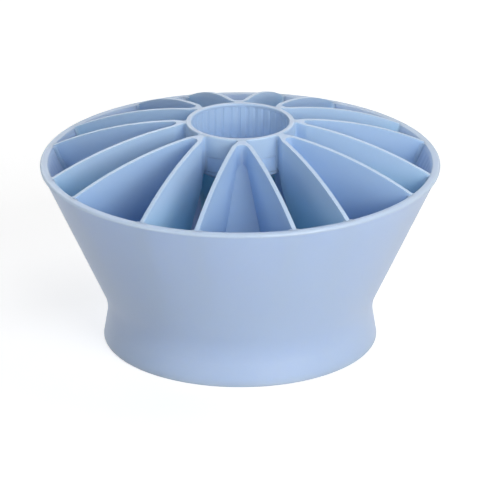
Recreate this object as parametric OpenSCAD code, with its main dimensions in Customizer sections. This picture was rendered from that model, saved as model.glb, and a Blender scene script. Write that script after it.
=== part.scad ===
// Dryer diffuser: a flared bowl with eight V-shaped vane pairs round a fluted hub,
// and a twist-lock collar in its foot that grips the barrel of a hair dryer.
// Millimetres, +Z up. The origin is on the axis, on the plane that the foot stands on.

/* [Bowl] */
// Outer diameter of the bowl at its rim
rim_d = 150; // [124:1:180]
// Height of the rim above the foot
rim_h = 70.1; // [59:0.1:79]
// Outer diameter at the waist, before it is rounded
waist_d = 99.2; // [94:0.2:104]
// Height of the waist
waist_h = 14; // [12:0.1:17]
// Outer diameter of the flared foot
foot_d = 104; // [100:0.5:125]
// Radius that rounds the waist
waist_round = 18.6; // [10:0.1:24]
// Wall of the bowl at the waist, measured level
wall = 3.4; // [2.8:0.1:4.1]
// Width of the flat rim
rim_w = 3; // [2.6:0.1:3.6]
// How far the rim stands out past the wall
rim_lip = 0.5; // [0.2:0.1:0.6]
// Height of that lip
lip_h = 1.2; // [1.1:0.1:1.8]

/* [Hub] */
// Outer diameter of the hub ring
hub_d = 40.6; // [34:0.2:49]
// Diameter of the hub's bore
bore_d = 36.6; // [30:0.2:37]
// Height of the hub ring's top
hub_h = 85.9; // [80:0.1:104]
// Height of the hub ring itself
ring_t = 8.2; // [6.8:0.1:9.7]
// Depth of the hub below its top
hub_depth = 15.2; // [12.7:0.1:18.3]
// Number of flutes in the bore
flute_count = 36; // [24:1:44]
// Depth of a flute
flute_depth = 0.35; // [0.2:0.05:0.4]

/* [Vanes] */
// Thickness of a vane
vane_t = 1.6; // [1.3:0.1:2]
// Angle of each vane from the middle of its pair
vane_angle = 18; // [16.5:0.1:19.5]
// Level distance from the hub ring to the inside of a pair's nose
nose_gap = 3.6; // [3:0.1:4.4]
// Inside radius of a nose
nose_round = 2.3; // [1.9:0.1:2.7]
// Depth of the pocket's floor below the hub's top, at the nose
floor_depth = 8.4; // [7:0.1:10.1]
// Slope of the pocket's floor, out and down to the bowl's wall
floor_slope = 56; // [52:0.5:60]
// Thickness of the pocket's floor
floor_t = 1.6; // [1.3:0.1:2]
// How far the vanes reach below the top of the floor, measured upright
vane_skirt = 10; // [8:0.1:12]
// Width of the web from the hub ring to a nose, where it leaves the ring
web_w = 2.2; // [2:0.1:3]
// How far above the rim the vanes' tops end
vane_rise = 0.3; // [0:0.1:1]
// Radius of the arc that the vanes' tops follow, from the hub to the rim
crown_round = 145; // [110:1:170]

/* [Deflector] */
// Height of the deflector's cone
cone_h = 12; // [10:0.5:15]
// Thickness of the cone, measured upright
cone_t = 2.3; // [1.8:0.1:3]
// Diameter of the small vents in the cone
vent_d = 4; // [3:0.1:5]
// Number of vents
vent_count = 6; // [4:1:8]

/* [Collar] */
// Height of the underside of the bowl's seat flange
seat_h = 9; // [8:0.1:10.5]
// Thickness of the seat flange
seat_t = 2.5; // [2:0.1:3]
// Width of the seat flange
seat_w = 6.5; // [6:0.1:7.5]
// Turn that unlocks the collar, in degrees
twist = 30; // [26:1:36]
// Angle that a locking lug spans
lug_angle = 22; // [18:1:26]
// Thickness of the collar's face plate
plate_t = 3.2; // [2.6:0.1:3.6]
// Wall of the collar's neck
neck_wall = 2.4; // [2:0.1:3]

/* [Grip] */
// Diameter that the grip's flaps close to
barrel_d = 47; // [40:0.5:56]
// Number of flaps
flap_count = 12; // [8:1:16]
// Width of the slit between two flaps
slit_w = 1.2; // [1:0.1:1.6]
// Height over which the flaps touch the barrel
grip_h = 3; // [2.5:0.1:3.6]

/* [Hidden] */
$fn = 96;
eps = 0.01;
fit = 0.1;
run = 0.3;
vane_count = 8;
lug_count = 3;
bowl_blue = [0.69, 0.77, 0.89];
collar_blue = [0.60, 0.68, 0.80];
soft_grey = [0.36, 0.39, 0.44];

// Bowl: a straight cone from the waist up to the rim's lip, and a foot that leans outwards
rim_r = rim_d / 2;
rim_edge = 0.5;
rim_c = [rim_r - rim_edge, rim_h - rim_edge];
cone_top = [rim_r - rim_lip, rim_h - lip_h];
waist = [waist_d / 2, waist_h];
cone_tilt = atan2(cone_top[0] - waist[0], cone_top[1] - waist[1]);
foot_tilt = atan2(foot_d / 2 - waist[0], waist_h);
waist_c = waist + waist_round / cos((cone_tilt + foot_tilt) / 2)
          * [cos((foot_tilt - cone_tilt) / 2), sin((foot_tilt - cone_tilt) / 2)];
inside_c = waist_c - [wall, 0];
inside_low = inside_c + waist_round * [-cos(cone_tilt), sin(cone_tilt)];
inside_rim = rim_r - rim_w;

function arc(centre, r, from, to, steps) =
    [for (i = [0 : steps]) let (a = from + (to - from) * i / steps) centre + r * [cos(a), sin(a)]];
// Inside radius of the bowl's cone above the rounded waist, and of its foot
function cone_r(z) = inside_low[0] + (z - inside_low[1]) * (inside_rim - inside_low[0]) / (rim_h - inside_low[1]);
function foot_r(z) = foot_d / 2 - wall - z * tan(foot_tilt);

// Hub, from the top down
hub_r = hub_d / 2;
bore_r = bore_d / 2;
lip_t = 0.9;
skirt_t = 0.8;
ring_low = hub_h - ring_t;
hub_low = hub_h - hub_depth;
sleeve_low = hub_low + 1.2;
band_r = hub_r - 0.15;

// Vane tops follow an arc from just under the hub's top edge to just above the rim's inner edge
crown_in = [hub_r, hub_h - 0.25];
crown_out = [inside_rim, rim_h + vane_rise];
crown_run = crown_out - crown_in;
crown_half = norm(crown_run) / 2;
crown_c = (crown_in + crown_out) / 2
          + sqrt(crown_round * crown_round - crown_half * crown_half)
          * [crown_run[1], -crown_run[0]] / norm(crown_run);

// A pair's two vanes run from a round nose, with a sloping floor between them
nose_r = hub_r + nose_gap;
nose_c = nose_r + nose_round;
floor_h = hub_h - floor_depth;
vane_top = hub_h + 5;
web_low = hub_low + 2;
// Each side of a web runs straight from the hub ring and touches the outside of the nose
web_from = [hub_r - 0.2, web_w / 2];
web_run = sqrt(pow(nose_c - web_from[0], 2) + pow(web_from[1], 2) - pow(nose_round + vane_t, 2));
web_turn = atan2(nose_round + vane_t, web_run) - atan2(web_from[1], nose_c - web_from[0]);
far_r = rim_d;
tongue_w = 2;
tongue_low = ring_low + 0.6;
tongue_top = hub_h - lip_t - 0.7;
// Height of the floor's top at a distance from the axis
function floor_z(r) = floor_h - (r - nose_r) * tan(floor_slope);

// Twist-lock collar, under and through the seat flange
seat_r = foot_r(seat_h) - seat_w;
seat_top = seat_h + seat_t;
lug_h = 2.6;
lug_r = seat_r + 3.1;
neck_r = seat_r - 0.4;
neck_bore = neck_r - neck_wall;
neck_top = seat_top + run + lug_h;
seal_t = 2.5;
plate_top = seat_h - run - seal_t;
plate_low = plate_top - plate_t;
plate_r = foot_r(plate_top) - 0.6;
seal_r = foot_r(plate_top + seal_t) - 1;
wing_low = 0.5;

// Grip: a grommet in the collar's neck with flaps that lean inwards and up
barrel_r = barrel_d / 2;
grip_r = neck_bore - fit;
root_r = grip_r - 2.8;
grip_lip = 1.7;
grip_low = plate_low - fit - 1.2;
grip_top = neck_top + fit + 1.4;
flap_top = grip_top + 4.6;
flap_low = flap_top - grip_h;

// Shapes shared by several pieces

module turned(points) {
    rotate_extrude() polygon(points);
}

// A ring sector between two radii and two angles
module sector(inner, outer, from, to, low, top) {
    steps = 6;
    translate([0, 0, low])
        linear_extrude(top - low)
            polygon(concat(arc([0, 0], inner, from, to, steps), arc([0, 0], outer, to, from, steps)));
}

// Plan of the space between a pair's two vanes, grown by part of their thickness
module wedge_plan(grow) {
    half_w = (nose_round + grow + (far_r - nose_c) * sin(vane_angle)) / cos(vane_angle);
    polygon(concat([[far_r, half_w]],
                   arc([nose_c, 0], nose_round + grow, 90 + vane_angle, 270 - vane_angle, 8),
                   [[far_r, -half_w]]));
}

// Plan of the web between the hub ring and a nose
module web_plan() {
    touch = web_from + web_run * [cos(web_turn), sin(web_turn)];
    polygon([web_from, touch, [nose_c, 0], [touch[0], -touch[1]], [web_from[0], -web_from[1]]]);
}

// A band between two slopes, parallel to the floor, below its top
module floor_band(above, below) {
    rotate([90, 0, 0])
        translate([0, 0, -far_r])
            linear_extrude(2 * far_r)
                polygon([[hub_r, floor_z(hub_r) - below], [far_r, floor_z(far_r) - below],
                         [far_r, floor_z(far_r) + above], [hub_r, floor_z(hub_r) + above]]);
}

// Pieces

module outer_shell() {
    outside = concat(arc(waist_c, waist_round, 180 + foot_tilt, 180 - cone_tilt, 8),
                     [cone_top, [rim_r, cone_top[1] + rim_lip]], arc(rim_c, rim_edge, 0, 90, 6));
    inside = arc(inside_c, waist_round, 180 - cone_tilt, 180 + foot_tilt, 8);
    color(bowl_blue) {
        difference() {
            union() {
                turned(concat([[foot_d / 2, 0]], outside, [[inside_rim, rim_h]], inside,
                              [[foot_d / 2 - wall, 0]]));
                turned([[seat_r, seat_h], [foot_r(seat_h) + 1, seat_h],
                        [foot_r(seat_top) + 1, seat_top], [seat_r, seat_top]]);
            }
            for (i = [0 : lug_count - 1])
                lug_notch(i);
        }
        for (i = [0 : lug_count - 1])
            rotate(i * 360 / lug_count)
                sector(seat_r + 0.2, lug_r, -lug_angle / 2 - 6, -lug_angle / 2 - 2, seat_top - eps, neck_top);
    }
}

// A notch in the seat flange that lets one lug through
module lug_notch(i) {
    spread = lug_angle / 2 + 2;
    rotate(i * 360 / lug_count + twist)
        sector(seat_r - 1, lug_r + 0.6, -spread, spread, seat_h - 1, seat_top + 1);
}

module hub_ring() {
    edge = 0.3;
    slot_w = tongue_w + 2 * fit;
    color(bowl_blue)
        difference() {
            turned(concat([[hub_r - skirt_t, ring_low], [hub_r, ring_low]],
                          arc([hub_r - edge, hub_h - edge], edge, 0, 90, 4),
                          arc([bore_r + edge, hub_h - edge], edge, 90, 180, 4),
                          [[bore_r, hub_h - lip_t], [hub_r - skirt_t, hub_h - lip_t]]));
            for (i = [0 : vane_count - 1])
                rotate(i * 360 / vane_count)
                    translate([hub_r - 1.5, -slot_w / 2, ring_low - 1])
                        cube([3, slot_w, tongue_top + fit - ring_low + 1]);
        }
}

module hub_sleeve() {
    inside_r = hub_r - skirt_t - fit;
    top = hub_h - lip_t - fit;
    step = ring_low - fit;
    flutes = [for (i = [0 : 2 * flute_count - 1])
              (bore_r + (i % 2) * flute_depth) * [cos(i * 180 / flute_count), sin(i * 180 / flute_count)]];
    color(bowl_blue)
        difference() {
            turned([[bore_r - 1, sleeve_low], [band_r, sleeve_low], [band_r, step],
                    [inside_r, step], [inside_r, top], [bore_r - 1, top]]);
            translate([0, 0, sleeve_low - 1])
                linear_extrude(top - sleeve_low + 2)
                    polygon(flutes);
        }
}

module air_deflector() {
    top = sleeve_low - fit;
    tip = hub_low - cone_h;
    inside_r = (top - tip - cone_t) * band_r / cone_h;
    color(bowl_blue)
        difference() {
            turned([[0, tip], [band_r, hub_low], [band_r, top], [inside_r, top], [0, tip + cone_t]]);
            for (i = [0 : vent_count - 1])
                rotate((i + 0.5) * 360 / vent_count)
                    translate([band_r / 2, 0, tip])
                        cylinder(d = vent_d, h = cone_h + 2);
        }
}

module vane_shape() {
    color(bowl_blue) {
        intersection() {
            union() {
                intersection() {
                    linear_extrude(vane_top)
                        difference() {
                            wedge_plan(vane_t);
                            wedge_plan(0);
                        }
                    floor_band(vane_top + far_r * tan(floor_slope), vane_skirt);
                }
                intersection() {
                    linear_extrude(vane_top)
                        wedge_plan(vane_t / 2);
                    floor_band(0, floor_t / cos(floor_slope));
                }
                translate([0, 0, web_low])
                    linear_extrude(vane_top - web_low)
                        difference() {
                            web_plan();
                            wedge_plan(0);
                        }
            }
            dome();
        }
        translate([hub_r - skirt_t + fit, -tongue_w / 2, tongue_low])
            cube([skirt_t + 1, tongue_w, tongue_top - tongue_low]);
    }
}

// The space for the vanes: round the hub, inside the bowl and under the arc of their tops
module dome() {
    rotate_extrude()
        intersection() {
            polygon([[hub_r + fit, vane_top], [hub_r + fit, waist_h], [cone_r(waist_h) - fit, waist_h],
                     [cone_r(vane_top) - fit, vane_top]]);
            translate(crown_c) circle(r = crown_round, $fn = 360);
        }
}

// The first pair points to the front, -Y
module vane_pair(i) {
    rotate(-90 + (i - 1) * 360 / vane_count)
        vane_shape();
}

module adapter_collar() {
    color(collar_blue) {
        turned([[neck_bore, plate_low], [plate_r, plate_low], [plate_r, plate_top],
                [neck_r, plate_top], [neck_r, neck_top], [neck_bore, neck_top]]);
        for (i = [0 : lug_count - 1])
            rotate(i * 360 / lug_count) {
                sector(neck_r - 0.8, lug_r, -lug_angle / 2, lug_angle / 2, seat_top + run, neck_top);
                rotate(180 / lug_count)
                    finger_wing();
            }
    }
}

// A rib to turn the collar by, on the underside of its face plate
module finger_wing() {
    wing_w = 3;
    from_r = neck_bore + 3.4;
    to_r = plate_r - 1.6;
    translate([0, 0, wing_low])
        linear_extrude(plate_low - wing_low + eps)
            union() {
                translate([from_r, -wing_w / 2])
                    square([to_r - from_r, wing_w]);
                translate([from_r, 0])
                    circle(d = wing_w);
                translate([to_r, 0])
                    circle(d = wing_w);
            }
}

module grip_ring() {
    lip_r = grip_r + grip_lip;
    color(soft_grey)
        difference() {
            union() {
                turned([[root_r, grip_low], [lip_r, grip_low], [lip_r, plate_low - fit],
                        [grip_r, plate_low - fit], [grip_r, neck_top + fit], [lip_r, neck_top + fit],
                        [lip_r, grip_top], [root_r, grip_top]]);
                turned([[root_r + 1, grip_low + 2], [root_r + 1, grip_low + 6], [root_r, grip_low + 6],
                        [barrel_r, flap_top], [barrel_r, flap_low], [root_r, grip_low + 2]]);
            }
            for (i = [0 : flap_count - 1])
                rotate((i + 0.5) * 360 / flap_count)
                    translate([barrel_r - 2, -slit_w / 2, grip_low - 1])
                        cube([root_r - barrel_r + 0.8, slit_w, flap_top - grip_low + 2]);
        }
}

module seal_ring() {
    color(soft_grey)
        turned([[neck_r + 0.8, plate_top], [seal_r, plate_top],
                [seal_r, plate_top + seal_t], [neck_r + 0.8, plate_top + seal_t]]);
}

outer_shell();
hub_ring();
hub_sleeve();
air_deflector();
vane_pair(1);  // vane_pair_1
vane_pair(2);  // vane_pair_2
vane_pair(3);  // vane_pair_3
vane_pair(4);  // vane_pair_4
vane_pair(5);  // vane_pair_5
vane_pair(6);  // vane_pair_6
vane_pair(7);  // vane_pair_7
vane_pair(8);  // vane_pair_8
adapter_collar();
grip_ring();
seal_ring();
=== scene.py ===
import math
import bpy
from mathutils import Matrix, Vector


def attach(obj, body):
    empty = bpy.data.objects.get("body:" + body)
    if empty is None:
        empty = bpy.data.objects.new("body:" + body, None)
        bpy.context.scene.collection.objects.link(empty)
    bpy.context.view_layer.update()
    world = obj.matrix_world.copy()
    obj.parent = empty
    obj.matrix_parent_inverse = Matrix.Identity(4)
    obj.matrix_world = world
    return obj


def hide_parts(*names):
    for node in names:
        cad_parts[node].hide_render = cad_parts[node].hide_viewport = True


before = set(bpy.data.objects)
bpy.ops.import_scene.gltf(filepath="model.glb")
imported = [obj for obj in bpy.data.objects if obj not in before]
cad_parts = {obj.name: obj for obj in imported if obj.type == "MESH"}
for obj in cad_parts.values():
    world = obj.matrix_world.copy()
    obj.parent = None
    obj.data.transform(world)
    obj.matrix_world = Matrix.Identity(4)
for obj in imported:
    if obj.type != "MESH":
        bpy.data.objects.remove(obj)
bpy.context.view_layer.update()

# Outer shell: the flared bowl with its waist and foot, one moulding of satin pale blue plastic.
# Fine upright flutes run round the inside of its wall, and a notched seat inside the foot takes
# the twist-lock collar. Sizes here and in the other sections are in millimetres.
MM = 0.001
rim_r, rim_h, rim_w = 75.0, 70.1, 3.0
rim_lip, lip_h, rim_edge, inner_edge, rim_start = 0.5, 1.2, 0.9, 0.45, -0.35
waist_r, waist_h, waist_round = 49.6, 14.0, 18.6
foot_r, foot_edge, foot_inset, foot_bevel, wall = 52.0, 0.6, 0.1, 0.3, 3.4
wall_bands = 6
wall_rings = (69.0, 68.4, 67.6, 64, 58, 52, 46, 40, 34, 28, 24, 22.6, 21.6)
wall_flutes, wall_flute_sides, wall_flute_depth = 112, 4, 0.25
wall_flute_low, wall_flute_high = 22.5, 68.1
seat_low, seat_top, seat_r, seat_bevel = 9.0, 11.5, 40.59, 0.4
notch_r, notch_turn, notch_half, notch_over = 44.3, 30, 13, 1
stop_r, stop_top, stop_from, stop_to, stop_root, stop_edge = 43.7, 14.4, -17, -13, 0.2, 0.3
lug_count = 3
corner_turn = math.radians(50)


def arc(centre, radius, start, end, steps):
    """Points on an arc, from one angle to another in radians."""
    turn = [start + (end - start) * i / steps for i in range(steps + 1)]
    return [(centre[0] + radius * math.cos(a), centre[1] + radius * math.sin(a)) for a in turn]


def face_outwards():
    """Turns every face of the mesh in edit mode outwards."""
    bpy.ops.mesh.select_all(action="SELECT")
    bpy.ops.mesh.normals_make_consistent(inside=False)


def soften(edge, segments, clamp=False):
    """Rounds the sharp edges of the mesh in edit mode."""
    bpy.ops.mesh.select_all(action="DESELECT")
    bpy.ops.mesh.edges_select_sharp(sharpness=corner_turn)
    bpy.ops.mesh.bevel(offset=edge * MM, segments=segments, affect="EDGES", clamp_overlap=clamp)


def select_none():
    """Clears the mesh's own selection and leaves edit mode, so that code can select."""
    bpy.ops.object.mode_set(mode="EDIT")
    bpy.ops.mesh.select_all(action="DESELECT")
    bpy.ops.object.mode_set(mode="OBJECT")


def turned(name, outline, sides, closed=True):
    """Extrudes a circle along an outline of radii and heights, as a piece on a lathe."""
    bpy.ops.object.select_all(action="DESELECT")
    bpy.ops.mesh.primitive_circle_add(vertices=sides, radius=outline[0][0] * MM,
                                      location=(0, 0, outline[0][1] * MM))
    piece = bpy.context.object
    piece.name = name
    bpy.ops.object.transform_apply(location=True, rotation=False, scale=False)
    bpy.ops.object.mode_set(mode="EDIT")
    ends = outline[1:] + (outline[:1] if closed else [])
    for (r0, z0), (r1, z1) in zip(outline, ends):
        bpy.ops.mesh.extrude_region_move(
            TRANSFORM_OT_translate={"value": (0, 0, (z1 - z0) * MM)})
        bpy.ops.transform.resize(value=(r1 / r0, r1 / r0, 1), center_override=(0, 0, z1 * MM))
    bpy.ops.mesh.select_all(action="SELECT")
    bpy.ops.mesh.remove_doubles(threshold=1e-6)
    if not closed:
        bpy.ops.mesh.fill_holes(sides=0)
    face_outwards()
    bpy.ops.object.mode_set(mode="OBJECT")
    return piece


def arc_block(inner, outer, low, top, start, end, edge=0):
    """Spins a rectangle about the axis into a block that follows a ring."""
    bpy.ops.object.select_all(action="DESELECT")
    turn = math.radians(start)
    bpy.ops.mesh.primitive_plane_add(size=1, rotation=(math.pi / 2, 0, turn))
    block = bpy.context.object
    block.scale = ((outer - inner) * MM, (top - low) * MM, 1)
    middle = (inner + outer) / 2 * MM
    block.location = (middle * math.cos(turn), middle * math.sin(turn), (low + top) / 2 * MM)
    bpy.ops.object.transform_apply(location=True, rotation=True, scale=True)
    bpy.ops.object.mode_set(mode="EDIT")
    bpy.ops.mesh.select_all(action="SELECT")
    bpy.ops.mesh.spin(steps=8, angle=math.radians(start - end), center=(0, 0, 0), axis=(0, 0, 1))
    bpy.ops.mesh.select_all(action="SELECT")
    bpy.ops.mesh.remove_doubles(threshold=1e-7)
    bpy.ops.mesh.fill_holes(sides=4)
    face_outwards()
    if edge:
        soften(edge, 2)
    bpy.ops.object.mode_set(mode="OBJECT")
    return block


def combine(piece, other, operation):
    """Joins another solid to a piece, or cuts it out, and removes the other."""
    boolean = piece.modifiers.new("combine", "BOOLEAN")
    boolean.operation = operation
    boolean.solver = "MANIFOLD"
    boolean.object = other
    bpy.context.view_layer.objects.active = piece
    bpy.ops.object.modifier_apply(modifier=boolean.name)
    bpy.data.objects.remove(other)


def polish(piece, angle=35):
    """Smooth shading that keeps flat faces flat beside their rounded edges."""
    bpy.ops.object.select_all(action="DESELECT")
    piece.select_set(True)
    bpy.context.view_layer.objects.active = piece
    bpy.ops.object.shade_smooth_by_angle(angle=math.radians(angle))
    normals = piece.modifiers.new("normals", "WEIGHTED_NORMAL")
    normals.keep_sharp = True
    bpy.ops.object.modifier_apply(modifier=normals.name)


def coat(piece, material):
    """Gives every face of a piece one material."""
    piece.data.materials.clear()
    piece.data.materials.append(material)
    for face in piece.data.polygons:
        face.material_index = 0


class Wire:
    """A shader socket that can be reckoned with like a number."""

    def __init__(self, tree, socket=None):
        self.tree = tree
        self.socket = socket

    def node(self, kind, settings, inputs, output=0):
        made = self.tree.nodes.new(kind)
        for key, value in settings.items():
            setattr(made, key, value)
        for key, value in inputs.items():
            if isinstance(value, Wire):
                self.tree.links.new(value.socket, made.inputs[key])
            else:
                made.inputs[key].default_value = value
        return Wire(self.tree, made.outputs[output])

    def maths(self, operation, first, second, clamp=False):
        return self.node("ShaderNodeMath", {"operation": operation, "use_clamp": clamp},
                         {0: first, 1: second})

    def __add__(self, other):
        return self.maths("ADD", self, other)

    def __sub__(self, other):
        return self.maths("SUBTRACT", self, other)

    def __rsub__(self, other):
        return self.maths("SUBTRACT", other, self)

    def __mul__(self, other):
        return self.maths("MULTIPLY", self, other)

    __radd__ = __add__
    __rmul__ = __mul__

    def noise(self, place, scale, detail=2.0):
        return self.node("ShaderNodeTexNoise", {},
                         {"Vector": place, "Scale": scale, "Detail": detail})

    def tint(self, amount, first, second, blend="MIX"):
        return self.node("ShaderNodeMix", {"data_type": "RGBA", "blend_type": blend},
                         {0: amount, 6: first, 7: second}, 2)


cloud_scale, speck_scale, flow_scale, grain_scale = 28.0, 900.0, 60.0, 3200.0
cloud_part, speck_part, flow_height = 0.7, 0.3, 0.6
bump_strength, bump_depth = 0.12, 0.0001
rough_drop, rough_speck, rough_cloud = 0.05, 0.06, 0.04
light_paint_from, light_paint_rate = 0.074, 35.0
painted_sheen_from, painted_sheen_rate = 0.6, 2.5
plastic_ior = 1.5


def moulded(name, pale, deep, rough, grain, depth=0.0, share=0.0, top=None, sides=None):
    """Moulded plastic: clouded pigment, a satin skin with a fine grain and faint flow marks.

    A share of the light goes in to a depth in metres. Faces that look up may have a paler top
    colour, a painted sheen. The channel and pocket sides of a vane may each have a gain high up and
    one low down: painted light on the channel side and painted shade low in the pockets.
    """
    material = bpy.data.materials.new(name)
    material.use_nodes = True
    tree = material.node_tree
    skin = tree.nodes["Principled BSDF"]
    wire = Wire(tree)
    place = wire.node("ShaderNodeTexCoord", {}, {}, "Object")
    cloud = wire.noise(place, cloud_scale, 3.0)
    speck = wire.noise(place, speck_scale)
    flow = wire.noise(place, flow_scale)
    fine = wire.noise(place, grain_scale, 1.0)
    colour = wire.tint(cloud * cloud_part + speck * speck_part, deep, pale)
    # Painted light and shade: the channel side of a vane is brightened and turned bluer lower down,
    # and the pocket side is darkened lower down.
    if sides:
        (channel_painted_light_high, channel_painted_light_low), (pocket_painted_shade_high, pocket_painted_shade_low) = sides
        height = wire.node("ShaderNodeSeparateXYZ", {}, {0: place}, "Z")
        light_paint_depth = wire.maths("MULTIPLY", light_paint_from - height, light_paint_rate, clamp=True)
        channel = wire.tint(light_paint_depth, channel_painted_light_high, channel_painted_light_low)
        pocket = wire.tint(light_paint_depth, pocket_painted_shade_high, pocket_painted_shade_low)
        in_pocket = wire.node("ShaderNodeAttribute", {"attribute_name": "pocket"}, {}, "Fac")
        colour = wire.tint(1.0, colour, wire.tint(in_pocket, channel, pocket), "MULTIPLY")
    # Painted sheen: faces that look up get a paler colour in place of the white gloss they catch.
    if top:
        facing = wire.node("ShaderNodeTexCoord", {}, {}, "Normal")
        upward = wire.node("ShaderNodeSeparateXYZ", {}, {0: facing}, "Z")
        painted_sheen = wire.maths("MULTIPLY", upward - painted_sheen_from, painted_sheen_rate, clamp=True)
        colour = wire.tint(painted_sheen, colour, top)
    relief = fine * grain + flow * flow_height
    bump = wire.node("ShaderNodeBump", {}, {"Strength": bump_strength, "Distance": bump_depth,
                                            "Height": relief})
    satin = rough - rough_drop + speck * rough_speck + cloud * rough_cloud
    tree.links.new(colour.socket, skin.inputs["Base Color"])
    tree.links.new(satin.socket, skin.inputs["Roughness"])
    tree.links.new(bump.socket, skin.inputs["Normal"])
    skin.inputs["IOR"].default_value = plastic_ior
    skin.inputs["Subsurface Weight"].default_value = share
    skin.inputs["Subsurface Radius"].default_value = (1.0, 1.0, 1.0)
    skin.inputs["Subsurface Scale"].default_value = depth
    return material


wall_top = (rim_r - rim_lip, rim_h - lip_h)
cone_tilt = math.atan2(wall_top[0] - waist_r, wall_top[1] - waist_h)
foot_tilt = math.atan2(foot_r - waist_r, waist_h)
lean = (foot_tilt - cone_tilt) / 2
spread = waist_round / math.cos((cone_tilt + foot_tilt) / 2)
waist_mid = (waist_r + spread * math.cos(lean), waist_h + spread * math.sin(lean))
inside_mid = (waist_mid[0] - wall, waist_mid[1])
inside_rim = rim_r - rim_w
inside_low = (inside_mid[0] - waist_round * math.cos(cone_tilt),
              inside_mid[1] + waist_round * math.sin(cone_tilt))


def inside_r(z):
    """Radius of the wall's inner face, above the waist."""
    rise = (inside_rim - inside_low[0]) / (rim_h - inside_low[1])
    return inside_low[0] + (z - inside_low[1]) * rise


def waist_turn(z):
    """Angle on the waist's inner arc at a height, in radians."""
    return math.pi - math.asin((z - inside_mid[1]) / waist_round)


outline = [(foot_r - wall + foot_bevel, 0), (foot_r - foot_edge, 0)]
outline += arc((foot_r - foot_edge - foot_inset, foot_edge), foot_edge,
               -math.pi / 2, -foot_tilt, 5)[1:]
outline += arc(waist_mid, waist_round, math.pi + foot_tilt, math.pi - cone_tilt, 16)
wall_low = outline[-1]
for i in range(1, wall_bands + 1):
    outline.append((wall_low[0] + (wall_top[0] - wall_low[0]) * i / wall_bands,
                    wall_low[1] + (wall_top[1] - wall_low[1]) * i / wall_bands))
outline += arc((rim_r - rim_edge, rim_h - rim_edge), rim_edge, rim_start, math.pi / 2, 8)
outline += arc((inside_rim + inner_edge, rim_h - inner_edge), inner_edge, math.pi / 2, math.pi, 4)
outline += [(inside_r(z), z) for z in wall_rings]
outline += arc(inside_mid, waist_round, math.pi - cone_tilt, waist_turn(seat_top), 6)
outline += [(seat_r + seat_bevel, seat_top), (seat_r, seat_top - seat_bevel),
            (seat_r, seat_low + seat_bevel), (seat_r + seat_bevel, seat_low)]
seat_root = inside_mid[0] + waist_round * math.cos(waist_turn(seat_low))
outline += [(seat_root, seat_low), (foot_r - wall, foot_bevel)]
bowl_wall = turned("bowl_wall", outline, wall_flutes * wall_flute_sides)

select_none()
for vertex in bowl_wall.data.vertices:
    x, y, z = [c / MM for c in vertex.co]
    step = math.atan2(y, x) / (2 * math.pi / wall_flutes)
    on_inside = abs(math.hypot(x, y) - inside_r(z)) < 0.2
    vertex.select = (wall_flute_low < z < wall_flute_high and on_inside
                     and abs(step - round(step)) < 0.1)
bpy.ops.object.mode_set(mode="EDIT")
bpy.ops.transform.shrink_fatten(value=-wall_flute_depth * MM)
bpy.ops.object.mode_set(mode="OBJECT")
for i in range(lug_count):
    at = i * 360 / lug_count
    notch = arc_block(seat_r - notch_over, notch_r, seat_low - notch_over, seat_top + notch_over,
                      at + notch_turn - notch_half, at + notch_turn + notch_half)
    combine(bowl_wall, notch, "DIFFERENCE")
    stop = arc_block(seat_r + stop_root, stop_r, seat_top - stop_root, stop_top,
                     at + stop_from, at + stop_to, stop_edge)
    combine(bowl_wall, stop, "UNION")
polish(bowl_wall)
bowl_blue = moulded("bowl_blue", (0.475, 0.595, 0.81, 1), (0.45, 0.57, 0.79, 1),
                    rough=0.38, grain=1.0, depth=0.005, share=1.0)
coat(bowl_wall, bowl_blue)
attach(bowl_wall, "bowl")
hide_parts("outer_shell")

# Hub ring: the smooth ring on top of the hub, moulded in the bowl's plastic. Its skirt slips over
# the fluted sleeve, and the eight vane pairs' webs run into its outside.
hub_r, bore_r, hub_h, hub_sides = 20.3, 18.3, 85.9, 192
ring_low, lip_low, skirt_r, lip_edge, ring_bevel = 77.7, 85.0, 19.5, 0.55, 0.15
outline = [(skirt_r, ring_low), (hub_r - ring_bevel, ring_low), (hub_r, ring_low + ring_bevel)]
outline += arc((hub_r - lip_edge, hub_h - lip_edge), lip_edge, 0, math.pi / 2, 5)
outline += arc((bore_r + lip_edge, hub_h - lip_edge), lip_edge, math.pi / 2, math.pi, 5)
outline += [(bore_r, lip_low), (skirt_r, lip_low)]
hub_lip = turned("hub_lip", outline, hub_sides)
polish(hub_lip)
# The hub's paler top colour is a painted sheen.
hub_blue = moulded("hub_blue", (0.485, 0.65, 0.88, 1), (0.46, 0.625, 0.86, 1),
                   rough=0.32, grain=1.0, depth=0.003, share=0.3, top=(0.56, 0.69, 0.93, 1))
coat(hub_lip, hub_blue)
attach(hub_lip, "bowl")
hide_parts("hub_ring")

# Hub sleeve: a tube inside and below the ring, with narrow upright grooves between broad bands all
# round its bore. A step on its outside carries the ring, which leaves a fine line round the hub.
flute_count, flute_depth, flute_sides, flute_widths = 36, 0.16, 8, (0.2, 0.05)
sleeve_low, sleeve_top, sleeve_r, band_r = 71.9, 84.9, 19.4, 20.15
step_gap, step_bevel, band_bevel = 0.1, 0.1, 0.05
flute_end, bore_rings, bore_foot = 0.5, (0.25, 0.6), 1
step_h = ring_low - step_gap
outline = [(bore_r, sleeve_low), (band_r - band_bevel, sleeve_low),
           (band_r, sleeve_low + band_bevel), (band_r, step_h - step_bevel),
           (band_r - step_bevel, step_h), (sleeve_r, step_h), (sleeve_r, sleeve_top),
           (bore_r, sleeve_top)]
outline += [(bore_r, sleeve_top - down) for down in bore_rings]
outline += [(bore_r, sleeve_low + bore_foot)]
hub_flutes = turned("hub_flutes", outline, flute_count * flute_sides)
select_none()
widen = 1 + flute_depth / bore_r
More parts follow.
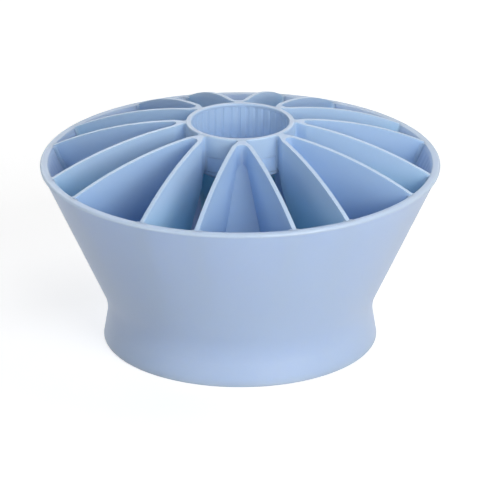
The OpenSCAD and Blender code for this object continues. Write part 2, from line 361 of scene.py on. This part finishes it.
for width in flute_widths:
    for vertex in hub_flutes.data.vertices:
        x, y, z = [c / MM for c in vertex.co]
        step = math.atan2(y, x) / (2 * math.pi / flute_count)
        in_bore = z < sleeve_top - flute_end and math.hypot(x, y) < bore_r + 0.3
        vertex.select = in_bore and abs(step - round(step)) < width
    bpy.ops.object.mode_set(mode="EDIT")
    bpy.ops.transform.resize(value=(widen, widen, 1), center_override=(0, 0, 0))
    bpy.ops.object.mode_set(mode="OBJECT")
polish(hub_flutes, 25)
coat(hub_flutes, hub_blue)
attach(hub_flutes, "bowl")
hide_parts("hub_sleeve")

# Air deflector: a thin moulded cone, point down, that closes the sleeve and turns the dryer's jet
# outwards. Six small vents let a little air through to the middle.
cone_top, cone_low, cone_tip, cone_t, cone_sides = 71.8, 70.7, 58.7, 2.3, 128
tip_r, tip_round, tip_rise = 0.05, 1.2, 0.4
cone_edge, cone_edge_h = 0.2, 0.15
vent_r, vent_at, vent_count, vent_sides, vent_long = 2.0, 10.075, 6, 40, 30
slope = band_r / (cone_low - cone_tip)
outline = [(tip_r, cone_tip), (tip_round, cone_tip + tip_rise),
           (band_r - cone_edge, cone_low - cone_edge_h), (band_r, cone_low), (band_r, cone_top),
           ((cone_top - cone_tip - cone_t) * slope, cone_top), (tip_r, cone_tip + cone_t)]
jet_cone = turned("jet_cone", outline, cone_sides, closed=False)
for i in range(vent_count):
    turn = (i + 0.5) * 2 * math.pi / vent_count
    middle = (vent_at * math.cos(turn) * MM, vent_at * math.sin(turn) * MM, cone_low * MM)
    bpy.ops.object.select_all(action="DESELECT")
    bpy.ops.mesh.primitive_cylinder_add(vertices=vent_sides, radius=vent_r * MM,
                                        depth=vent_long * MM, location=middle)
    combine(jet_cone, bpy.context.object, "DIFFERENCE")
polish(jet_cone)
coat(jet_cone, hub_blue)
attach(jet_cone, "bowl")
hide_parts("air_deflector")

# Vane pairs: eight thin V-shaped walls that stand round the hub, each with a round nose, a short
# filleted web to the hub ring and a sloping floor between its two vanes. Their tops follow one arc
# from the hub to the rim and have rounded edges.
vane_t, vane_turn, vane_count = 1.6, math.radians(18), 8
nose_x, nose_in = 26.2, 2.3
nose_out = nose_in + vane_t
web_half, web_round, web_root = 0.9, 0.8, 0.3
wall_round, wall_gap, wall_bury, vane_bury = 1.2, 0.04, 0.7, 0.3
fillet_bands, fillet_over, fillet_under = 8, 0.05, 1
crown_round, crown_in_drop, crown_out_rise = 145.0, 0.25, 0.15
floor_x, floor_h, floor_slope, floor_t = 23.9, 77.5, math.radians(56), 1.6
skirt, vane_low, vane_high, vane_edge = 10.0, 20, 95.0, 0.62
floor_low, inside_cut_low, inside_sides, axis_r = 5, 15, 448, 0.05
far = 82.0
slices = range(22, 80, 2)


def traced(name, points, low):
    """Draws a closed outline point by point, as with the extrude key, and stays in edit mode."""
    bpy.ops.object.select_all(action="DESELECT")
    bpy.ops.mesh.primitive_plane_add(
        size=MM, location=(points[0][0] * MM, points[0][1] * MM, low * MM))
    piece = bpy.context.object
    piece.name = name
    bpy.ops.object.transform_apply(location=True, rotation=False, scale=False)
    bpy.ops.object.mode_set(mode="EDIT")
    bpy.ops.mesh.merge(type="CENTER")
    for (x0, y0), (x1, y1) in zip(points, points[1:]):
        bpy.ops.mesh.extrude_region_move(
            TRANSFORM_OT_translate={"value": ((x1 - x0) * MM, (y1 - y0) * MM, 0)})
    bpy.ops.mesh.select_all(action="SELECT")
    bpy.ops.mesh.edge_face_add()
    return piece


def cut(point, normal, side):
    """Slices the mesh in edit mode and, if a side is named, takes that side off."""
    bpy.ops.mesh.select_all(action="SELECT")
    bpy.ops.mesh.bisect(plane_co=[c * MM for c in point], plane_no=normal, use_fill=bool(side),
                        clear_inner=side == "inner", clear_outer=side == "outer")


def mirrored(points):
    """The same points on the other side of the pair, in the opposite order."""
    return [(x, -y) for x, y in reversed(points)]


def along(turn, offset, distance):
    """A point by its offset from the nose's middle and its distance along the vane."""
    return (nose_x - offset * math.sin(turn) + distance * math.cos(turn),
            offset * math.cos(turn) + distance * math.sin(turn))


vane_way = Vector((math.cos(vane_turn), math.sin(vane_turn)))
vane_side = Vector((-math.sin(vane_turn), math.cos(vane_turn)))


def wall_point(offset, z):
    """Where a vane's face meets the wall's inner face, at a height."""
    start = Vector(along(vane_turn, offset, 0))
    ahead = start.dot(vane_way)
    reach = math.sqrt(ahead ** 2 - start.length_squared + inside_r(z) ** 2) - ahead
    return start + vane_way * reach


def wall_fillet(offset, away, side):
    """A hollow round up the corner between a vane's face and the wall."""
    low = rim_h
    for i in range(30):
        drop = (wall_point(offset, low).x - floor_x) * math.tan(floor_slope)
        low = floor_h - skirt - drop + fillet_under
    rise = rim_h - fillet_over - low
    heights = [low + rise * i / fillet_bands for i in range(fillet_bands + 1)]
    corner = wall_point(offset, heights[fillet_bands // 2])
    inward = -vane_way
    outward = vane_side * away
    across = Vector((-corner.y, corner.x)).normalized() * away
    half_turn = inward.angle(across) / 2
    middle = corner + (inward + across).normalized() * wall_round / math.sin(half_turn)
    reach = wall_round / math.tan(half_turn)
    first, last = corner + inward * reach - middle, corner + across * reach - middle
    into_wall = corner.normalized() * wall_bury
    section = [corner + inward * reach - outward * vane_bury]
    section += [middle + first.slerp(last, i / 6) for i in range(7)]
    section += [corner + across * reach + into_wall, corner - outward * vane_bury + into_wall]
    start = wall_point(offset, heights[0]) - corner
    points = [(x + start.x, (y + start.y) * side) for x, y in section]
    fillet = traced("fillet", points, heights[0])
    for z0, z1 in zip(heights, heights[1:]):
        move = wall_point(offset, z1) - wall_point(offset, z0)
        bpy.ops.mesh.extrude_region_move(
            TRANSFORM_OT_translate={"value": (move.x * MM, move.y * side * MM, (z1 - z0) * MM)})
    face_outwards()
    bpy.ops.object.mode_set(mode="OBJECT")
    return fillet


web_start = Vector((hub_r, web_half))
to_nose = Vector((nose_x, 0)) - web_start
web_turn = math.atan2(to_nose.y, to_nose.x) + math.asin(nose_out / to_nose.length)
web_way = Vector((math.cos(web_turn), math.sin(web_turn)))
web_out = Vector((-math.sin(web_turn), math.cos(web_turn)))
web_side = web_start + web_out * web_round
web_along = web_side.dot(web_way)
web_reach = math.sqrt(web_along ** 2 - web_side.length_squared + (hub_r + web_round) ** 2)
web_mid = web_side + web_way * (web_reach - web_along)
hub_turn = math.atan2(web_mid.y, web_mid.x)
root_r = hub_r - web_root
inner_side = [along(vane_turn, nose_in, far - nose_x)]
inner_side += arc((nose_x, 0), nose_in, math.pi / 2 + vane_turn, math.pi, 6)[:-1]
outer_side = [(root_r * math.cos(hub_turn), root_r * math.sin(hub_turn))]
outer_side += arc(web_mid, web_round, math.pi + hub_turn, 1.5 * math.pi + web_turn, 5)
outer_side += arc((nose_x, 0), nose_out, math.pi / 2 + web_turn, math.pi / 2 + vane_turn, 3)
outer_side += [along(vane_turn, nose_out, far - nose_x)]
plan = inner_side + [(nose_x - nose_in, 0)] + mirrored(inner_side)
plan += mirrored(outer_side) + outer_side

vanes = traced("vanes_1", plan, vane_low)
bpy.ops.mesh.extrude_region_move(
    TRANSFORM_OT_translate={"value": (0, 0, (vane_high - vane_low) * MM)})
top = vanes.vertex_groups.new(name="top")
for x in slices:
    cut((x, 0, 0), (1, 0, 0), None)
face_outwards()
bpy.ops.object.mode_set(mode="OBJECT")
highest = [v.index for v in vanes.data.vertices if v.co.z > (vane_high - 1) * MM]
top.add(highest, 1.0, "REPLACE")

crown_in = Vector((hub_r, hub_h - crown_in_drop))
crown_out = Vector((inside_rim + inner_edge, rim_h + crown_out_rise))
crown_run = crown_out - crown_in
crown_mid = (crown_in + crown_out) / 2 + Vector((crown_run.y, -crown_run.x)).normalized() * (
    math.sqrt(crown_round ** 2 - (crown_run.length / 2) ** 2))
bpy.ops.object.select_all(action="DESELECT")
bpy.ops.mesh.primitive_torus_add(location=(0, 0, crown_mid.y * MM), major_segments=144,
                                 minor_segments=480, major_radius=crown_mid.x * MM,
                                 minor_radius=crown_round * MM)
crown = bpy.context.object
wrap = vanes.modifiers.new("crown", "SHRINKWRAP")
wrap.target = crown
wrap.vertex_group = "top"
wrap.wrap_method = "PROJECT"
wrap.use_project_z = True
wrap.use_negative_direction = True
wrap.use_positive_direction = False
bpy.context.view_layer.objects.active = vanes
bpy.ops.object.modifier_apply(modifier=wrap.name)
bpy.data.objects.remove(crown)

bpy.ops.object.select_all(action="DESELECT")
vanes.select_set(True)
bpy.ops.object.mode_set(mode="EDIT")
floor_normal = (math.sin(floor_slope), 0, math.cos(floor_slope))
cut((floor_x, 0, floor_h - skirt), floor_normal, "inner")
face_outwards()
soften(vane_edge, 3, clamp=True)
bpy.ops.object.mode_set(mode="OBJECT")

half = nose_in + vane_t / 2
floor_side = [along(vane_turn, half, far - nose_x)]
floor_side += arc((nose_x, 0), half, math.pi / 2 + vane_turn, math.pi, 6)[:-1]
floor_plan = floor_side + [(nose_x - half, 0)] + mirrored(floor_side)
pocket_floor = traced("floor", floor_plan, floor_low)
bpy.ops.mesh.extrude_region_move(
    TRANSFORM_OT_translate={"value": (0, 0, (vane_high - floor_low) * MM)})
cut((floor_x, 0, floor_h), floor_normal, "outer")
cut((floor_x, 0, floor_h - floor_t / math.cos(floor_slope)), floor_normal, "inner")
face_outwards()
bpy.ops.object.mode_set(mode="OBJECT")
combine(vanes, pocket_floor, "UNION")
for side in (1, -1):
    for offset, away in ((nose_out, 1), (nose_in, -1)):
        combine(vanes, wall_fillet(offset, away, side), "UNION")
outline = [(axis_r, inside_cut_low), (inside_r(inside_cut_low) - wall_gap, inside_cut_low)]
outline += arc((inside_rim + inner_edge, rim_h - inner_edge), inner_edge + wall_gap,
               math.pi, math.pi / 2, 4)
outline += [(inside_rim + inner_edge, vane_high), (axis_r, vane_high)]
combine(vanes, turned("inside", outline, inside_sides, closed=False), "INTERSECT")
polish(vanes)
# The vane's paler top is a painted sheen. Its side gains are painted light on the channel side and
# painted shade low in the pockets.
vane_blue = moulded("vane_blue", (0.425, 0.59, 0.82, 1), (0.40, 0.565, 0.80, 1),
                    rough=0.36, grain=1.0, depth=0.003, share=0.4, top=(0.51, 0.655, 0.89, 1),
                    sides=(((1.17, 1.13, 1.09, 1), (0.90, 1.27, 1.20, 1)),
                           ((1.0, 1.0, 1.0, 1), (0.64, 0.78, 0.90, 1))))
coat(vanes, vane_blue)
# Marks the pocket side of each vane, which gets the painted shade.
pocket = vanes.data.attributes.new("pocket", "FLOAT", "POINT")
for vertex in vanes.data.vertices:
    x, y = vertex.co.x / MM - nose_x, abs(vertex.co.y) / MM
    if x * math.cos(vane_turn) + y * math.sin(vane_turn) > 0:
        aside = y * math.cos(vane_turn) - x * math.sin(vane_turn)
    else:
        aside = math.hypot(x, y)
    pocket.data[vertex.index].value = float(aside < half)
pairs = [vanes]
for i in range(1, vane_count):
    pair = vanes.copy()
    pair.data = vanes.data.copy()
    pair.name = "vanes_%d" % (i + 1)
    bpy.context.scene.collection.objects.link(pair)
    pairs.append(pair)
for i, pair in enumerate(pairs):
    bpy.ops.object.select_all(action="DESELECT")
    pair.select_set(True)
    bpy.context.view_layer.objects.active = pair
    pair.rotation_euler.z = -math.pi / 2 + i * 2 * math.pi / vane_count
    bpy.ops.object.transform_apply(location=False, rotation=True, scale=False)
    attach(pair, "bowl")
    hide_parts("vane_pair_%d" % (i + 1))

# Adapter collar: a stiff moulded ring that fills the foot, with a neck that goes up through the
# seat. Three lugs on the neck lock over the seat when the collar is turned by the ribs under its
# face.
neck_r, neck_bore, neck_top = 40.19, 37.79, 14.4
plate_r, plate_low, plate_top = 46.96, 3.0, 6.2
lug_r, lug_low, lug_half, lug_root = 43.69, 11.8, 11, 0.8
wing_low, wing_w, wing_from, wing_to = 0.5, 3.0, 41.19, 45.36
wing_root, wing_round = 0.4, 0.48
soft, ring_sides = 0.35, 192


def rounded(points, radius):
    """Rounds every corner of an outline with a short arc of three points."""
    result = []
    for i, (x, y) in enumerate(points):
        before, after = Vector(points[i - 1]), Vector(points[(i + 1) % len(points)])
        here = Vector((x, y))
        to_before, to_after = before - here, after - here
        size = min(radius, to_before.length * 0.45, to_after.length * 0.45)
        first = here + to_before.normalized() * size
        last = here + to_after.normalized() * size
        middle = (first + last) / 4 + here / 2
        result += [tuple(first), tuple(middle), tuple(last)]
    return result


outline = rounded([(neck_bore, plate_low), (plate_r, plate_low), (plate_r, plate_top),
                   (neck_r, plate_top), (neck_r, neck_top), (neck_bore, neck_top)], soft)
collar_body = turned("collar_body", outline, ring_sides)
for i in range(lug_count):
    at = i * 360 / lug_count
    lug = arc_block(neck_r - lug_root, lug_r, lug_low, neck_top, at - lug_half, at + lug_half, soft)
    combine(collar_body, lug, "UNION")
    bpy.ops.object.select_all(action="DESELECT")
    bpy.ops.mesh.primitive_cube_add(size=1)
    wing = bpy.context.object
    wing.scale = ((wing_to - wing_from + wing_w) * MM, wing_w * MM,
                  (plate_low - wing_low + wing_root) * MM)
    wing.location = ((wing_from + wing_to) / 2 * MM, 0,
                     (wing_low + plate_low + wing_root) / 2 * MM)
    bpy.ops.object.transform_apply(location=True, rotation=False, scale=True)
    wing.rotation_euler.z = math.radians(at + 180 / lug_count)
    select_none()
    for edge in wing.data.edges:
        ends = [wing.data.vertices[v].co for v in edge.vertices]
        edge.select = abs(ends[0].z - ends[1].z) > MM
    bpy.ops.object.mode_set(mode="EDIT")
    bpy.ops.mesh.bevel(offset=wing_w * wing_round * MM, segments=8, affect="EDGES")
    soften(soft, 2)
    bpy.ops.object.mode_set(mode="OBJECT")
    bpy.ops.object.transform_apply(location=False, rotation=True, scale=False)
    combine(collar_body, wing, "UNION")
polish(collar_body)
collar_blue = moulded("collar_blue", (0.36, 0.455, 0.63, 1), (0.325, 0.42, 0.59, 1),
                      rough=0.48, grain=1.6)
coat(collar_body, collar_blue)
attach(collar_body, "collar")
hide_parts("adapter_collar")

# Grip ring: a soft rubber grommet snapped into the collar's neck. Twelve flaps, parted by straight
# slits, lean in and up to hold a dryer's barrel, and low ridges on them keep it from slipping.
grip_r, grip_lip_r, grip_in = 37.69, 39.39, 34.89
grip_low, grip_top, grip_edge, grip_gap, grip_sides = 1.7, 15.9, 0.45, 0.1, 240
barrel_r, flap_low, flap_top, flap_root = 23.5, 17.5, 20.5, 3.7
flap_count, slit_w, slit_from, slit_end, slit_high = 12, 1.2, 20, 1.2, 40
ridge_count, ridge_first, ridge_apart = 5, 1.2, 1.9
ridge_shape = ((0.0, 0), (0.25, 0.2), (0.5, 0.25), (0.75, 0.2), (1.0, 0))
grommet = rounded([(grip_in, grip_low), (grip_lip_r, grip_low),
                   (grip_lip_r, plate_low - grip_gap), (grip_r, plate_low - grip_gap),
                   (grip_r, neck_top + grip_gap), (grip_lip_r, neck_top + grip_gap),
                   (grip_lip_r, grip_top), (grip_in, grip_top)], grip_edge)
flap_long = math.hypot(grip_in - barrel_r, flap_low - flap_root)
under = Vector((grip_in - barrel_r, flap_root - flap_low)) / flap_long
down = Vector((under.y, -under.x))
flap = [(grip_in, 8.3), (grip_in - 0.25, 8.0), (barrel_r + 0.5, flap_top - 0.3),
        (barrel_r + 0.15, flap_top - 0.1), (barrel_r, flap_top - 0.5),
        (barrel_r, flap_low + 0.4), (barrel_r + 0.1, flap_low + 0.1)]
tip = Vector((barrel_r, flap_low))
for i in range(ridge_count):
    for step, rise in ridge_shape:
        distance = ridge_first + ridge_apart * i + step
        flap.append(tuple(tip + under * distance + down * rise))
outline = grommet + flap + [(grip_in - 0.3, 4.0), (grip_in, 3.5)]
grip_flaps = turned("grip_flaps", outline, grip_sides)
slit_to = grip_in - slit_end
for i in range(flap_count):
    bpy.ops.object.select_all(action="DESELECT")
    bpy.ops.mesh.primitive_cube_add(size=1)
    slit = bpy.context.object
    slit.scale = ((slit_to - slit_from) * MM, slit_w * MM, slit_high * MM)
    slit.location = ((slit_to + slit_from) / 2 * MM, 0, 0)
    bpy.ops.object.transform_apply(location=True, rotation=False, scale=True)
    slit.rotation_euler.z = (i + 0.5) * 2 * math.pi / flap_count
    bpy.ops.object.transform_apply(location=False, rotation=True, scale=False)
    combine(grip_flaps, slit, "DIFFERENCE")
polish(grip_flaps)
grip_rubber = moulded("grip_rubber", (0.115, 0.13, 0.155, 1), (0.09, 0.105, 0.125, 1),
                      rough=0.62, grain=2.2)
coat(grip_flaps, grip_rubber)
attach(grip_flaps, "collar")
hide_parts("grip_ring")

# Seal ring: a soft washer that lies on the collar's face plate round the neck, with two low beads
# on top that close the joint to the bowl's seat.
seal_in, seal_r, seal_top, seal_edge = 40.99, 46.14, 8.7, 0.4
bead_r, bead_places = 0.5, (3.9, 1.3)
seal_base = seal_top - bead_r
outline = rounded([(seal_in, plate_top), (seal_r, plate_top), (seal_r, seal_base),
                   (seal_in, seal_base)], seal_edge)
at = outline.index(next(p for p in outline
                        if abs(p[1] - seal_base) < 1e-6 and p[0] < seal_r - 0.1))
beads = []
for place in bead_places:
    beads += arc((seal_in + place, seal_base), bead_r, 0, math.pi, 6)
outline = outline[:at + 1] + beads + outline[at + 1:]
seal_washer = turned("seal_washer", outline, ring_sides)
polish(seal_washer)
seal_rubber = moulded("seal_rubber", (0.20, 0.225, 0.26, 1), (0.17, 0.195, 0.23, 1),
                      rough=0.66, grain=2.0)
coat(seal_washer, seal_rubber)
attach(seal_washer, "collar")
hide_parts("seal_ring")

# Studio: a plain pale floor that is white to the camera, and a white surround. Inside the foot the
# floor's glow is left out, a painted shade under the bowl. Two soft lamps stand at the front right,
# two weaker ones at the left, one high at the right and two behind. The camera stands where the
# photograph was taken from.
floor_size, floor_pale, floor_glow, floor_rough = 8, (0.6, 0.6, 0.6, 1), (0.6, 0.6, 0.6, 1), 0.9
painted_shade_r, painted_shade_rate = (foot_r - wall) * MM, 500.0
world_light, white, black = (0.05, 0.05, 0.05, 1), (1, 1, 1, 1), (0, 0, 0, 1)
bpy.ops.object.select_all(action="DESELECT")
bpy.ops.mesh.primitive_plane_add(size=floor_size)
floor = bpy.context.object
floor.name = "studio_floor"
paper = bpy.data.materials.new("paper")
paper.use_nodes = True
sheet = paper.node_tree.nodes["Principled BSDF"]
sheet.inputs["Base Color"].default_value = floor_pale
sheet.inputs["Roughness"].default_value = floor_rough
sheet.inputs["Emission Strength"].default_value = 1.0
wire = Wire(paper.node_tree)


def seen(wire):
    """One where the camera looks, straight or by gloss or glass, and nought for other light."""
    straight = wire.node("ShaderNodeLightPath", {}, {}, "Is Camera Ray")
    glossy = Wire(wire.tree, straight.socket.node.outputs["Is Glossy Ray"])
    through = Wire(wire.tree, straight.socket.node.outputs["Is Transmission Ray"])
    return wire.maths("ADD", straight + glossy, through, clamp=True)


place = wire.node("ShaderNodeTexCoord", {}, {}, "Object")
reach = wire.node("ShaderNodeVectorMath", {"operation": "LENGTH"}, {0: place}, "Value")
# Painted shade: the floor's glow stops inside the foot, so the floor under the bowl shows darker.
outside_painted_shade = wire.maths("MULTIPLY", reach - painted_shade_r, painted_shade_rate, clamp=True)
glow = wire.tint(seen(wire) * outside_painted_shade, black, floor_glow)
paper.node_tree.links.new(glow.socket, sheet.inputs["Emission Color"])
floor.data.materials.append(paper)

scene = bpy.context.scene
lamp_away, lamp_size, lamp_aim = 1.4, 0.8, Vector((0, 0, 0.05))
lamps = (("key", 30, 27, 8.7), ("low_right", 32, 10, 7.5), ("low_left", -35, 12, 2.1),
         ("left", -64, 39, 3.4), ("right", 110, 60, 4.1),
         ("back_left", -158, 32, 4.2), ("back_right", 158, 32, 1.8))


def bearing(swing, rise):
    """The direction from the object to a place round it, by degrees from the front and upwards."""
    swing, rise = math.radians(swing), math.radians(rise)
    return Vector((math.sin(swing) * math.cos(rise), -math.cos(swing) * math.cos(rise),
                   math.sin(rise)))


for name, swing, rise, power in lamps:
    lamp = bpy.data.lights.new(name, "AREA")
    lamp.energy = power
    lamp.size = lamp_size
    stand = bpy.data.objects.new(name, lamp)
    scene.collection.objects.link(stand)
    stand.location = lamp_aim + bearing(swing, rise) * lamp_away
    stand.rotation_euler = bearing(swing, rise).to_track_quat("Z", "Y").to_euler()
surround = bpy.data.worlds.new("surround")
surround.use_nodes = True
wire = Wire(surround.node_tree)
sky = wire.tint(seen(wire), world_light, white)
surround.node_tree.links.new(sky.socket, surround.node_tree.nodes["Background"].inputs["Color"])
scene.world = surround

camera_from, camera_away = bearing(-1.55, 22.17), 1.5
camera_aim = Vector((-0.00007, 0, 0.03777))
lens = bpy.data.cameras.new("camera")
lens.sensor_width = 36
lens.lens = 297.73
camera = bpy.data.objects.new("camera", lens)
scene.collection.objects.link(camera)
camera.location = camera_aim + camera_from * camera_away
camera.rotation_euler = camera_from.to_track_quat("Z", "Y").to_euler()
scene.camera = camera
scene.view_settings.view_transform = "Standard"
